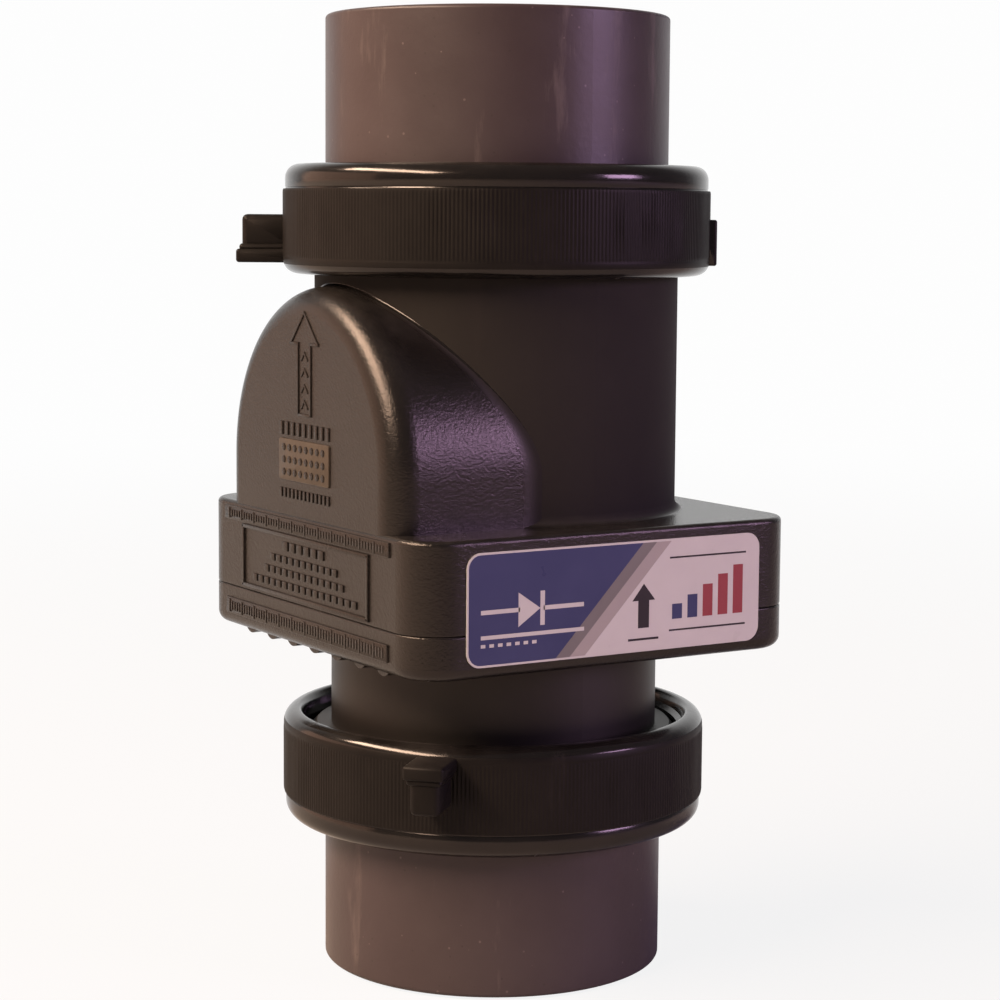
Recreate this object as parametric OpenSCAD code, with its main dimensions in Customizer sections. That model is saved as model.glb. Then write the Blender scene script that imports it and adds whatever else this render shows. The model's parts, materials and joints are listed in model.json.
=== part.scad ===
// Inline swing check valve with a union at each end, standing upright.
// Flow runs along +Z. The origin is the centre of the inlet socket's mouth,
// the flapper chamber bulges towards -Y, and the label faces +X. Millimetres.

/* [Pipe sockets] */
// Outside diameter of the pipe that each socket takes
pipe_od = 60.3; // [58:0.1:62]
// Radial gap between the pipe and the socket wall
socket_gap = 0.15; // [0.05:0.05:0.5]
// Depth of each socket, up to the pipe stop
socket_depth = 30; // [24:0.5:34]
// Wall of each socket
socket_wall = 4.95; // [4:0.05:6]
// Radial width of the pipe stop behind each socket
stop_w = 3.3; // [2:0.1:5]
// Round of the socket's outer rim
rim_r = 0.8; // [0.3:0.1:2]

/* [Unions] */
// Length of each tailpiece that shows beyond its nut
tail_show = 30.2; // [26:0.2:40]
// Thickness of the nut's inward lip
lip_t = 5; // [4:0.1:6]
// Thickness of the collar that the lip pulls on
collar_t = 4.8; // [3.5:0.1:6]
// How far the collar stands out from the tailpiece
collar_rise = 2.95; // [2:0.05:4]
// Height of each union nut
nut_h = 22.2; // [20:0.2:26]
// Least radial step from the collar to the root of the body's thread
thread_over = 0.2; // [0.1:0.1:1]
// Least radial step from the outlet tube to the root of the body's thread
tube_step = 0.9; // [0.5:0.1:2]
// Radial room that the thread takes between body and nut
thread_depth = 1.35; // [1:0.05:2]
// Length of the threaded ring on each end of the body
thread_len = 9.5; // [8:0.25:10]
// Wall of the nut outside its thread
nut_wall = 3.95; // [3:0.05:6]
// Height of the ribs on the nut's grip band
rib_rise = 0.5; // [0.2:0.05:0.8]
// Height of the smooth shoulder on the nut's lip end
shoulder_h = 4.9; // [3.5:0.1:6]
// Radial step from the grip band down to the shoulder
shoulder_step = 0.2; // [0.1:0.1:1.2]
// Bevel on the nut's thread end
nut_bevel = 1.4; // [0.8:0.1:2]
// Round between the nut's shoulder and its lip face
nut_round = 1.6; // [0.8:0.1:2.4]

/* [Nut lugs] */
// Radial reach of the spanner lug past the grip band
lug_reach = 8.3; // [5:0.1:12]
// Width of the lug's stem
lug_w = 6; // [4:0.1:9]
// Height of the lug's stem
lug_h = 7; // [5:0.1:8]
// Thickness of the lug's flange
lug_flange_t = 2.9; // [2:0.1:4]
// How far the flange stands out past the stem
lug_flange_over = 1.1; // [0.5:0.1:2]
// Round on the foot of the stem
lug_round = 1.3; // [0.5:0.1:2]
// Bevel on the top edges of the flange
lug_edge = 0.5; // [0.2:0.1:1]
// Distance from the nut's thread end to the flange
lug_inset = 2; // [1:0.1:3]
// Direction of the inlet nut's lug around Z
inlet_lug_angle = -46; // [-180:1:180]
// Direction of the outlet nut's lug around Z
outlet_lug_angle = 236; // [0:1:360]
// How far the low pad opposite the lug stands out
pad_rise = 1.1; // [0.5:0.1:2]
// Width of the low pad
pad_w = 8; // [5:0.5:12]
// Height of the low pad
pad_h = 8.4; // [5:0.1:10]

/* [Seals] */
// Radial width of the groove for each union ring
groove_w = 4; // [3:0.1:5]
// Depth of the groove for each union ring
groove_d = 2.6; // [2:0.1:3.4]
// Side room of the union ring in its groove
groove_gap = 0.2; // [0.1:0.05:0.4]

/* [Valve body] */
// Bore of the inlet tube
inlet_bore = 58; // [56:0.5:62]
// Wall of the inlet tube
inlet_wall = 5; // [4:0.1:6]
// Length of the inlet tube from its end face to the block
inlet_neck = 28.1; // [24:0.1:40]
// Height of the lower half of the block
lower_h = 8.7; // [6.5:0.1:12]
// Height of the upper half of the block
upper_h = 18; // [14:0.5:24]
// Width of the block
block_w = 93.1; // [88:0.1:104]
// How far the block reaches behind the flow axis
block_back = 43.8; // [41:0.1:50]
// How far the block's front stands ahead of the chamber's
block_lead = 0.3; // [0.2:0.1:2]
// Round of the block's upright corners
corner_r = 9; // [7:0.5:12]
// Round of the block's bottom edge
bottom_r = 2.4; // [1:0.1:3]
// Round of the block's top edge
top_r = 1; // [0.5:0.1:2]
// Round of each half's edge at the parting line
parting_r = 0.4; // [0.2:0.1:0.6]
// Height of the welded tongue between the halves
tongue_h = 1.2; // [0.8:0.1:2]
// Width of the welded tongue between the halves
tongue_w = 1.2; // [0.8:0.1:1.6]
// Distance from the block's side to the tongue
tongue_inset = 1.3; // [1:0.1:1.6]
// Room around the tongue
tongue_gap = 0.1; // [0.05:0.05:0.2]
// Fillet where the outlet tube meets the block
foot_r = 2; // [0.5:0.1:3]
// Pitch of the ribs under the block
under_pitch = 9.5; // [8:0.5:14]
// Radius of the half-round ribs under the block
under_r = 3.4; // [2.6:0.1:4]
// How far the ribs stand out under the block
under_rise = 1; // [0.5:0.1:1.5]

/* [Flapper chamber] */
// Wall of the chamber's bulge
hump_wall = 4; // [3:0.1:5]
// Round of the bulge's front edge
hump_edge = 5.8; // [5:0.1:8]
// Side room between the flapper seal and the bulge
hump_side_gap = 4.3; // [3.5:0.1:7]
// How far the bulge's arch springs below the open flapper's centre
arch_drop = 9.3; // [6:0.1:10]
// Room between the bulge's top and the outlet nut
nut_room = 2.2; // [1.6:0.1:6]
// Room behind the hinge knuckle
hinge_back_gap = 2.1; // [1:0.1:4]
// Room between the flapper seal and the outlet bore
chamber_gap = 6; // [5.5:0.1:8]
// Wall of the outlet tube
outlet_wall = 4; // [3:0.1:5]

/* [Flapper] */
// Diameter of the port that the flapper closes
port_d = 49; // [46:0.5:52]
// Height of the raised seat above the parting line
seat_rise = 1.5; // [1.2:0.1:2.5]
// Width of the raised seat
seat_w = 2; // [1.5:0.1:3]
// How far the seal overlaps the seat
seal_over = 1; // [0.5:0.1:2]
// Thickness of the seal
seal_t = 3; // [2:0.1:4]
// How far the carrier's rim lies inside the seal's
carrier_inset = 1.5; // [1:0.1:3]
// Thickness of the carrier plate
carrier_t = 3; // [2.4:0.1:4]
// Thickness of the stiffening ribs on the carrier
carrier_rib_t = 3; // [2:0.1:4]
// Room between the washer and the stiffening ribs
carrier_rib_gap = 0.7; // [0.3:0.1:3]
// Height of the stiffening ribs on the carrier
carrier_rib_h = 2.4; // [1:0.1:3]
// Height of the round boss under the washer
boss_h = 0.8; // [0.4:0.1:2]
// Thickness of the seal retainer
retainer_t = 2; // [1:0.1:3]
// Room between the retainer and the port
retainer_gap = 3.5; // [2.5:0.1:6]
// How far the flapper swings open
flap_open = 70; // [55:1:71]
// Distance from the seal's edge to the hinge axis
hinge_out = 6; // [5.5:0.1:8]
// Diameter of the hinge pin
pin_d = 5; // [4:0.1:5.6]
// Wall of each hinge bush
bush_wall = 1.1; // [0.8:0.1:1.4]
// Thickness of each bush's flange
bush_flange_t = 0.8; // [0.5:0.1:1.2]
// Wall of the knuckle and the ears around the hinge
knuckle_wall = 1.2; // [1:0.1:1.4]
// Thickness of each hinge ear
ear_t = 5; // [4:0.2:7]
// Side room between the bushes and the ears
ear_gap = 0.2; // [0.1:0.05:0.5]
// Diameter of the screw that holds the seal
screw_d = 6; // [5:0.5:8]
// Diameter of the screw's round head
screw_head_d = 11; // [10:0.5:14]
// Height of the screw's head
screw_head_h = 3.2; // [2.5:0.1:5]
// Width across the flats of the locknut
locknut_af = 10; // [9:0.5:13]
// Height of the locknut
locknut_h = 6; // [4:0.2:8]
// Diameter of the washer under the locknut
washer_d = 14; // [14:0.5:18]
// Thickness of the washer
washer_t = 1.2; // [0.8:0.1:2]

/* [Label] */
// Length of the label
label_w = 68.2; // [40:0.2:70]
// Height of the label
label_h = 21.8; // [14:0.2:22]
// Thickness of the label
label_t = 0.25; // [0.1:0.05:0.5]
// Round of the label's corners
label_corner = 3; // [1:0.5:5]
// How far the label's centre lies below the block's middle
label_drop = 0; // [-1:0.1:1]

/* [Fits] */
// Radial running room of the bushes on the pin
running_gap = 0.05; // [0.02:0.01:0.1]
// Radial room of pieces that are pressed or clamped together
seat_gap = 0.02; // [0.01:0.01:0.05]
// Radial room of the nut's lip around the tailpiece
lip_gap = 0.35; // [0.2:0.05:0.6]

/* [Hidden] */
$fn = 96;
BODY_COLOUR = "#2b2624";
TAIL_COLOUR = "#5e524e";
STEEL_COLOUR = "#b8bbbf";
RUBBER_COLOUR = "#1c1c1e";
BUSH_COLOUR = "#e6e2d6";
LABEL_COLOUR = "#e9e4ea";
EPS = 1;
// Angle by which the bulge's round top laps over its upright sides, and for a full round
outer_lap = 10;
full_lap = 90;

socket_r = pipe_od / 2 + socket_gap;
tail_r = socket_r + socket_wall;
throat_r = socket_r - stop_w;
collar_r = tail_r + collar_rise;
lip_bore_r = tail_r + lip_gap;

inlet_bore_r = inlet_bore / 2;
inlet_r = inlet_bore_r + inlet_wall;
port_r = port_d / 2;
seat_r = port_r + seat_w;
seal_r = seat_r + seal_over;
carrier_r = seal_r - carrier_inset;
retainer_r = port_r - retainer_gap;
outlet_bore_r = seal_r + chamber_gap;
outlet_r = outlet_bore_r + outlet_wall;

thread_r = max(collar_r + thread_over, outlet_r + tube_step);
nut_bore_r = thread_r + thread_depth;
band_r = nut_bore_r + nut_wall;
grip_r = band_r + rib_rise;
lug_root = (nut_bore_r + band_r) / 2;
lug_z = nut_h - lug_inset - lug_flange_t;
groove_r = (inlet_bore_r + thread_r) / 2;

bush_bore_r = pin_d / 2 + running_gap;
bush_r = bush_bore_r + bush_wall;
knuckle_r = bush_r + knuckle_wall;
hinge_y = seal_r + hinge_out;
hump_in_w = seal_r + hump_side_gap;
hump_in_front = hinge_y + knuckle_r + hinge_back_gap;
hump_front = hump_in_front + hump_wall;
block_front = hump_front + block_lead;
block_mid_y = (block_back - block_front) / 2;

collar_z = tail_show + lip_t;
inlet_end_z = collar_z + collar_t;
block_z = inlet_end_z + inlet_neck;
parting_z = block_z + lower_h;
top_z = parting_z + upper_h;

seat_z = parting_z + seat_rise;
carrier_z = seat_z + seal_t;
washer_z = carrier_z + carrier_t + boss_h;
locknut_z = washer_z + washer_t;
retainer_z = seat_z - retainer_t;
hinge_z = carrier_z + carrier_t / 2;
spring_z = hinge_z + hinge_y * sin(flap_open) - arch_drop;
bulge_top_z = spring_z + hump_in_w + hump_wall;
outlet_end_z = bulge_top_z + nut_room + nut_h - lip_t - collar_t;
total_h = outlet_end_z + inlet_end_z;

knuckle_w = washer_d + 2 * (carrier_rib_gap + carrier_rib_t);
ear_x = knuckle_w / 2 + bush_flange_t + ear_gap;
pin_len = 2 * (ear_x + ear_t);
screw_hole_r = screw_d / 2 + seat_gap;

// Flat rectangle with round corners
module round_rect(x0, x1, y0, y1, r) {
    translate([x0 + r, y0]) square([x1 - x0 - 2 * r, y1 - y0]);
    translate([x0, y0 + r]) square([x1 - x0, y1 - y0 - 2 * r]);
    for (x = [x0 + r, x1 - r], y = [y0 + r, y1 - r])
        translate([x, y]) circle(r);
}

// The block's outline, drawn in by an inset
module block_outline(inset) {
    round_rect(-block_w / 2 + inset, block_w / 2 - inset,
               -block_front + inset, block_back - inset, corner_r - inset);
}

// Section of a slab from its middle out to one side, with a round at the bottom and the top edge
module side_section(reach, h, r0, r1) {
    translate([0, r0]) square([reach, h - r0 - r1]);
    square([reach - r0, r0]);
    translate([0, h - r1]) square([reach - r1, r1]);
    translate([reach - r0, r0]) circle(r0);
    translate([reach - r1, h - r1]) circle(r1);
}

// Section across a whole slab
module slab_section(w, h, r0, r1) {
    side_section(w / 2, h, r0, r1);
    mirror([1, 0]) side_section(w / 2, h, r0, r1);
}

// One half of the block: two crossed slabs and a round puck in each corner
module block_half(z0, z1, r0, r1) {
    h = z1 - z0;
    deep = block_front + block_back;
    run_x = block_w - 2 * corner_r;
    run_y = deep - 2 * corner_r;
    translate([0, block_mid_y, z0]) {
        for (x = [-run_x / 2, run_x / 2], y = [-run_y / 2, run_y / 2])
            translate([x, y, 0]) rotate_extrude() side_section(corner_r, h, r0, r1);
        translate([-run_x / 2, 0, 0]) rotate([90, 0, 90]) linear_extrude(run_x) slab_section(deep, h, r0, r1);
        translate([0, run_y / 2, 0]) rotate([90, 0, 0])
            linear_extrude(run_y) slab_section(block_w, h, r0, r1);
    }
}

// Arched bulge: upright sides under a round top, with a rounded front edge. The round
// laps down into the upright sides by an angle on each side.
module arched_bulge(half_w, front, edge, z0, lap) {
    translate([0, 0, z0]) linear_extrude(spring_z - z0) {
        translate([-half_w, edge - front]) square([2 * half_w, front - edge]);
        translate([edge - half_w, -front]) square([2 * (half_w - edge), front]);
        for (x = [edge - half_w, half_w - edge])
            translate([x, edge - front]) circle(edge);
    }
    translate([0, 0, spring_z]) rotate([90, 0, 0])
        rotate([0, 0, -lap]) rotate_extrude(angle = 180 + 2 * lap) {
            square([half_w, front - edge]);
            square([half_w - edge, front]);
            translate([half_w - edge, front - edge]) circle(edge);
        }
}

// Ring groove in an end face at z that opens along dir
module ring_groove(z, dir) {
    depth_z = dir > 0 ? z - groove_d : z - EPS;
    translate([0, 0, depth_z]) difference() {
        cylinder(groove_d + EPS, r = groove_r + groove_w / 2);
        translate([0, 0, -EPS]) cylinder(groove_d + 3 * EPS, r = groove_r - groove_w / 2);
    }
}

// Welded tongue, or with a gap the groove that takes it
module tongue(gap) {
    translate([0, 0, parting_z - EPS * 0.5]) linear_extrude(tongue_h + gap + EPS * 0.5)
        difference() {
            block_outline(tongue_inset - gap);
            block_outline(tongue_inset + tongue_w + gap);
        }
}

// Threaded ring at its root size, with a bevelled start; z runs in from the end face
module thread_ring() {
    rotate_extrude() polygon([
        [0, 0], [thread_r - nut_bevel / 2, 0], [thread_r, nut_bevel / 2],
        [thread_r, thread_len - nut_bevel], [thread_r - nut_bevel, thread_len], [0, thread_len]
    ]);
}

module upper_body() {
    cone_h = outlet_bore_r - inlet_bore_r;
    cone_top = outlet_end_z - thread_len;
    color(BODY_COLOUR) difference() {
        union() {
            block_half(parting_z, top_z, parting_r, top_r);
            arched_bulge(hump_in_w + hump_wall, hump_front, hump_edge, parting_z + top_r, outer_lap);
            translate([0, 0, parting_z + top_r])
                cylinder(outlet_end_z - parting_z - top_r - EPS, r = outlet_r);
            translate([0, 0, top_z]) rotate_extrude() difference() {
                translate([outlet_r - EPS, -EPS]) square([foot_r + EPS, foot_r + EPS]);
                translate([outlet_r + foot_r, foot_r]) circle(foot_r);
            }
            translate([0, 0, outlet_end_z]) mirror([0, 0, 1]) thread_ring();
        }
        arched_bulge(hump_in_w, hump_in_front, hump_edge - hump_wall, parting_z - EPS, full_lap);
        rotate_extrude() polygon([
            [0, parting_z - EPS], [outlet_bore_r, parting_z - EPS], [outlet_bore_r, cone_top - cone_h],
            [inlet_bore_r, cone_top], [inlet_bore_r, outlet_end_z + EPS], [0, outlet_end_z + EPS]
        ]);
        ring_groove(outlet_end_z, 1);
        tongue(tongue_gap);
    }
}

// Ear that holds one end of the hinge pin
module hinge_ear() {
    translate([0, -hinge_y, hinge_z]) rotate([0, 90, 0]) cylinder(ear_t, r = knuckle_r);
    translate([0, -hinge_y - knuckle_r, parting_z - EPS])
        cube([ear_t, 2 * knuckle_r, hinge_z - parting_z + EPS]);
}

module lower_body() {
    rib_count = floor((block_w / 2 - corner_r) / under_pitch);
    rib_front = block_front - bottom_r;
    rib_back = block_back - bottom_r;
    cone_h = inlet_bore_r - port_r;
    color(BODY_COLOUR) difference() {
        union() {
            block_half(block_z, parting_z, bottom_r, parting_r);
            translate([0, 0, inlet_end_z + EPS])
                cylinder(parting_z - inlet_end_z - EPS - parting_r, r = inlet_r);
            translate([0, 0, inlet_end_z]) thread_ring();
            translate([0, 0, parting_z - EPS]) cylinder(seat_rise + EPS, r = seat_r);
            tongue(0);
            for (x = [ear_x, -ear_x - ear_t])
                translate([x, 0, 0]) hinge_ear();
            for (i = [-rib_count:rib_count])
                translate([i * under_pitch, rib_back, block_z - under_rise + under_r])
                    rotate([90, 0, 0]) cylinder(rib_front + rib_back, r = under_r);
        }
        rotate_extrude() polygon([
            [0, inlet_end_z - EPS], [inlet_bore_r, inlet_end_z - EPS], [inlet_bore_r, block_z - cone_h],
            [port_r, block_z], [port_r, seat_z + EPS], [0, seat_z + EPS]
        ]);
        ring_groove(inlet_end_z, -1);
        translate([-pin_len / 2 - EPS, -hinge_y, hinge_z])
            rotate([0, 90, 0]) cylinder(pin_len + 2 * EPS, r = pin_d / 2 + seat_gap);
    }
}

// Tailpiece with its socket mouth at z = 0 and its sealing face at the far end
module tailpiece() {
    color(TAIL_COLOUR) rotate_extrude() difference() {
        union() {
            translate([0, rim_r]) square([tail_r, collar_z - rim_r + EPS]);
            square([tail_r - rim_r, rim_r + EPS]);
            translate([tail_r - rim_r, rim_r]) circle(rim_r);
            translate([0, collar_z]) square([collar_r, collar_t]);
        }
        translate([0, -EPS]) square([socket_r, socket_depth + EPS]);
        square([throat_r, inlet_end_z + EPS]);
    }
}

// Outline of the lug from a start line to its stem's face: rounded foot, sloped neck and flange
module lug_outline(start, face) {
    foot_z = lug_z - lug_h;
    flange_top = lug_z + lug_flange_t;
    rim = face + lug_flange_over;
    polygon([
        [start, foot_z], [face - lug_round, foot_z], [face, foot_z + lug_round],
        [face, lug_z - lug_flange_over], [rim, lug_z],
        [rim, flange_top - lug_edge], [rim - lug_edge, flange_top], [start, flange_top]
    ]);
    translate([face - lug_round, foot_z + lug_round]) circle(lug_round);
}

// Spanner lug towards +X: its outline as seen from the side, cut to the same outline as seen from the front
module nut_lug() {
    stem_face = grip_r + lug_reach;
    intersection() {
        rotate([90, 0, 0])
            linear_extrude(lug_w + 2 * lug_flange_over + 2 * EPS, center = true)
                lug_outline(lug_root, stem_face);
        rotate([90, 0, 90]) linear_extrude(stem_face + lug_flange_over + EPS) {
            lug_outline(0, lug_w / 2);
            mirror([1, 0]) lug_outline(0, lug_w / 2);
        }
    }
}

// Union nut with its lip face at z = 0 and its thread mouth at the far end
module union_nut(lug_angle) {
    shoulder_r = band_r - shoulder_step;
    color(BODY_COLOUR) {
        rotate_extrude() difference() {
            union() {
                polygon([
                    [0, 0], [shoulder_r - nut_round, 0], [shoulder_r, nut_round], [shoulder_r, shoulder_h],
                    [grip_r, shoulder_h + rib_rise], [grip_r, nut_h - nut_bevel], [grip_r - nut_bevel, nut_h],
                    [0, nut_h]
                ]);
                translate([shoulder_r - nut_round, nut_round]) circle(nut_round);
            }
            square([lip_bore_r, lip_t + EPS]);
            translate([0, lip_t]) square([nut_bore_r, nut_h]);
            polygon([
                [0, nut_h - nut_bevel], [nut_bore_r, nut_h - nut_bevel],
                [nut_bore_r + nut_bevel / 2, nut_h + EPS], [0, nut_h + EPS]
            ]);
        }
        rotate([0, 0, lug_angle]) {
            nut_lug();
            translate([-grip_r - pad_rise, -pad_w / 2, nut_h - lug_inset - pad_h])
                cube([grip_r + pad_rise - lug_root, pad_w, pad_h]);
        }
    }
}

// Flattened rubber ring that fills its groove from floor to mouth; z runs up from the floor
module o_ring() {
    ring_w = groove_w - 2 * groove_gap;
    end_r = groove_d / 2;
    color(RUBBER_COLOUR) rotate_extrude() translate([groove_r, end_r]) {
        square([ring_w - groove_d, groove_d], center = true);
        for (x = [end_r - ring_w / 2, ring_w / 2 - end_r])
            translate([x, 0]) circle(end_r);
    }
}

module outlet_tailpiece() { translate([0, 0, total_h]) mirror([0, 0, 1]) tailpiece(); }
module inlet_tailpiece() { tailpiece(); }
module outlet_union_nut() {
    translate([0, 0, total_h - tail_show]) mirror([0, 0, 1]) union_nut(outlet_lug_angle);
}
module inlet_union_nut() { translate([0, 0, tail_show]) union_nut(inlet_lug_angle); }
module outlet_o_ring() { translate([0, 0, outlet_end_z - groove_d]) o_ring(); }
module inlet_o_ring() { translate([0, 0, inlet_end_z]) o_ring(); }

module flapper_carrier() {
    arm_y = -hinge_y + (bush_r + knuckle_r) / 2;
    rib_end = washer_d / 2 + carrier_rib_t;
    color(BODY_COLOUR) difference() {
        union() {
            translate([0, 0, carrier_z]) cylinder(carrier_t, r = carrier_r);
            translate([0, 0, carrier_z]) cylinder(carrier_t + boss_h, r = washer_d / 2);
            translate([-knuckle_w / 2, arm_y, carrier_z]) cube([knuckle_w, -arm_y, carrier_t]);
            translate([-knuckle_w / 2, -hinge_y, hinge_z]) rotate([0, 90, 0])
                cylinder(knuckle_w, r = knuckle_r);
            for (x = [-knuckle_w / 2, knuckle_w / 2 - carrier_rib_t])
                translate([x, arm_y, carrier_z])
                    cube([carrier_rib_t, rib_end - arm_y, carrier_t + carrier_rib_h]);
        }
        translate([0, 0, carrier_z - EPS]) cylinder(carrier_t + boss_h + 2 * EPS, r = screw_hole_r);
        translate([-knuckle_w / 2 - EPS, -hinge_y, hinge_z])
            rotate([0, 90, 0]) cylinder(knuckle_w + 2 * EPS, r = bush_r + seat_gap);
    }
}

// Round plate with the screw's hole through it
module plate(z, t, r) {
    translate([0, 0, z]) difference() {
        cylinder(t, r = r);
        translate([0, 0, -EPS]) cylinder(t + 2 * EPS, r = screw_hole_r);
    }
}

module flapper_seal() { color(RUBBER_COLOUR) plate(seat_z, seal_t, seal_r); }
module seal_retainer() { color(STEEL_COLOUR) plate(retainer_z, retainer_t, retainer_r); }
module flapper_washer() { color(STEEL_COLOUR) plate(washer_z, washer_t, washer_d / 2); }

module flapper_screw() {
    shank_top = locknut_z + locknut_h + EPS;
    color(STEEL_COLOUR) {
        translate([0, 0, retainer_z - screw_head_h]) cylinder(screw_head_h, r = screw_head_d / 2);
        translate([0, 0, retainer_z - EPS]) cylinder(shank_top - retainer_z + EPS, r = screw_d / 2);
    }
}

module flapper_locknut() {
    hex_h = locknut_h * 0.7;
    color(STEEL_COLOUR) translate([0, 0, locknut_z]) difference() {
        union() {
            cylinder(hex_h, r = locknut_af / sqrt(3), $fn = 6);
            cylinder(locknut_h, r = locknut_af / 2);
        }
        translate([0, 0, -EPS]) cylinder(locknut_h + 2 * EPS, r = screw_hole_r);
    }
}

// Flanged bush in the knuckle's end at +X
module hinge_bush() {
    bush_in = knuckle_w / 2 - (knuckle_w / 2 - EPS) / 2;
    color(BUSH_COLOUR) translate([0, -hinge_y, hinge_z]) rotate([0, 90, 0]) difference() {
        union() {
            translate([0, 0, knuckle_w / 2 - bush_in]) cylinder(bush_in + bush_flange_t, r = bush_r);
            translate([0, 0, knuckle_w / 2]) cylinder(bush_flange_t, r = (bush_r + knuckle_r) / 2);
        }
        cylinder(knuckle_w, r = bush_bore_r);
    }
}

module hinge_bush_left() { mirror([1, 0, 0]) hinge_bush(); }
module hinge_bush_right() { hinge_bush(); }

module hinge_pin() {
    color(STEEL_COLOUR) translate([-pin_len / 2, -hinge_y, hinge_z])
        rotate([0, 90, 0]) cylinder(pin_len, r = pin_d / 2);
}

module side_label() {
    mid_z = (block_z + top_z) / 2 - label_drop;
    color(LABEL_COLOUR) translate([block_w / 2, block_mid_y, mid_z]) rotate([90, 0, 90])
        linear_extrude(label_t)
            round_rect(-label_w / 2, label_w / 2, -label_h / 2, label_h / 2, label_corner);
}

upper_body();
lower_body();
outlet_tailpiece();
inlet_tailpiece();
outlet_union_nut();
inlet_union_nut();
outlet_o_ring();
inlet_o_ring();
flapper_carrier();
flapper_seal();
seal_retainer();
flapper_screw();
flapper_washer();
flapper_locknut();
hinge_bush_left();
hinge_bush_right();
hinge_pin();
side_label();
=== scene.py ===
# %% [markdown]
# # An inline check valve with union ends
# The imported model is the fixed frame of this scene. The valve's own lengths are written in millimetres, as on
# a workshop drawing, and are turned into metres at the last moment, because the frame is in metres. Only the
# lamps and the floor, which are far larger, are written in metres.
# The valve stands upright: flow goes up along +Z, the flapper chamber bulges towards -Y, the label faces +X.

# %% Load the frame
import json
import math

import bmesh
import bpy
from mathutils import Matrix, Vector

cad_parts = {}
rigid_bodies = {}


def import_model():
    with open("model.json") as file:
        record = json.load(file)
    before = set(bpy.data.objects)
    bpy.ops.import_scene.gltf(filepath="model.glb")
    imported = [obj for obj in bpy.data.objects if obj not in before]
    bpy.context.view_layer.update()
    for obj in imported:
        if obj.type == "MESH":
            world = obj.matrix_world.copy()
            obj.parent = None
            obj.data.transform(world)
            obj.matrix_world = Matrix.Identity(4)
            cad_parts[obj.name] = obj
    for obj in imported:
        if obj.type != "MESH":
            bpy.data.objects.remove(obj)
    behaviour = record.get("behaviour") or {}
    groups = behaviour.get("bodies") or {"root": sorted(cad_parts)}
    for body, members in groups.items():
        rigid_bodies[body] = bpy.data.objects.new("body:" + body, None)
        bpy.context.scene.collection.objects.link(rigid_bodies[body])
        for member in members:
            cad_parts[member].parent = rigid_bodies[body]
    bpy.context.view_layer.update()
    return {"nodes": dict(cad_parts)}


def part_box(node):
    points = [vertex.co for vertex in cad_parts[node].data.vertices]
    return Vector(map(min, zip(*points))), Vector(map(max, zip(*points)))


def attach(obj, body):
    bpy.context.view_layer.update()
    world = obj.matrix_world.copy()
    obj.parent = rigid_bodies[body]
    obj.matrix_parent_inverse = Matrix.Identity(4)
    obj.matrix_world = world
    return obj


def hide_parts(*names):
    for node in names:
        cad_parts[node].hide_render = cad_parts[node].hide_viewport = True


for leftover in list(bpy.data.objects):
    bpy.data.objects.remove(leftover)
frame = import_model()
nodes = frame["nodes"]
MM = 0.001
scene = bpy.context.scene
scene.view_settings.view_transform = "Standard"

# %% [markdown]
# ## Camera
# The photograph was taken from a little above, turned about 58 degrees round the valve, from half a metre
# away. The camera's three axes are written out as a matrix instead of using a tracking constraint: that
# keeps the slight roll of the picture, and nothing has to be solved later. The lens follows from the focal
# length in pixels on a frame 1000 pixels wide, and the small shift puts the valve where the photograph has
# it.

# %% Camera at the photograph's place
AZIMUTH, ELEVATION, ROLL = math.radians(58.498), math.radians(6.123), math.radians(-0.403)
DISTANCE, TARGET_Z, FOCAL_PX, FRAME_PX = 526.223, 100.617, 2521.3, 1000
level = math.cos(ELEVATION)
back = Vector((math.sin(AZIMUTH) * level, -math.cos(AZIMUTH) * level, math.sin(ELEVATION)))
right = Vector((math.cos(AZIMUTH), math.sin(AZIMUTH), 0))
up = back.cross(right)
right_rolled = right * math.cos(ROLL) - up * math.sin(ROLL)
up_rolled = right * math.sin(ROLL) + up * math.cos(ROLL)
lens = bpy.data.cameras.new("camera")
lens.sensor_width = 36
lens.lens = FOCAL_PX / FRAME_PX * lens.sensor_width
lens.shift_x, lens.shift_y = 0.00528, -0.02286
camera = bpy.data.objects.new("camera", lens)
stand = (Vector((0, 0, TARGET_Z)) + back * DISTANCE) * MM
axes = Matrix((right_rolled, up_rolled, back)).transposed().to_4x4()
camera.matrix_world = Matrix.Translation(stand) @ axes
scene.collection.objects.link(camera)
scene.camera = camera
print("camera at", [round(c / MM) for c in camera.location], "lens", round(lens.lens, 1))

# %% [markdown]
# ## Soft boxes
# Three soft boxes light the valve at a plain level, each where a part of the real one mirrors it. The wide
# warm box on the left fills the flat front of the chamber. The long warm strip above draws the bright line
# on the chamber's rounded edge and on the lips of the nuts. The small violet box on the right draws the
# upright streaks on the round parts. All of them look at one point inside the valve, so a direction is
# enough to place each one.

# %% Three soft boxes
LAMP_AIM, LAMP_AWAY = Vector((0, 0, 0.1)), 1.5


def soft_box(name, towards, along, size, power, colour):
    lamp = bpy.data.lights.new(name, "AREA")
    lamp.shape = "RECTANGLE"
    lamp.size, lamp.size_y = size
    lamp.energy = power
    lamp.color = colour
    box = bpy.data.objects.new(name, lamp)
    away = Vector(towards).normalized()
    across = away.cross(Vector(along)).normalized()
    axes = Matrix((across.cross(away), across, away)).transposed().to_4x4()
    box.matrix_world = Matrix.Translation(LAMP_AIM + away * LAMP_AWAY) @ axes
    scene.collection.objects.link(box)
    print(f"{name}: {size[0]} x {size[1]} m, {power} W")


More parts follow.
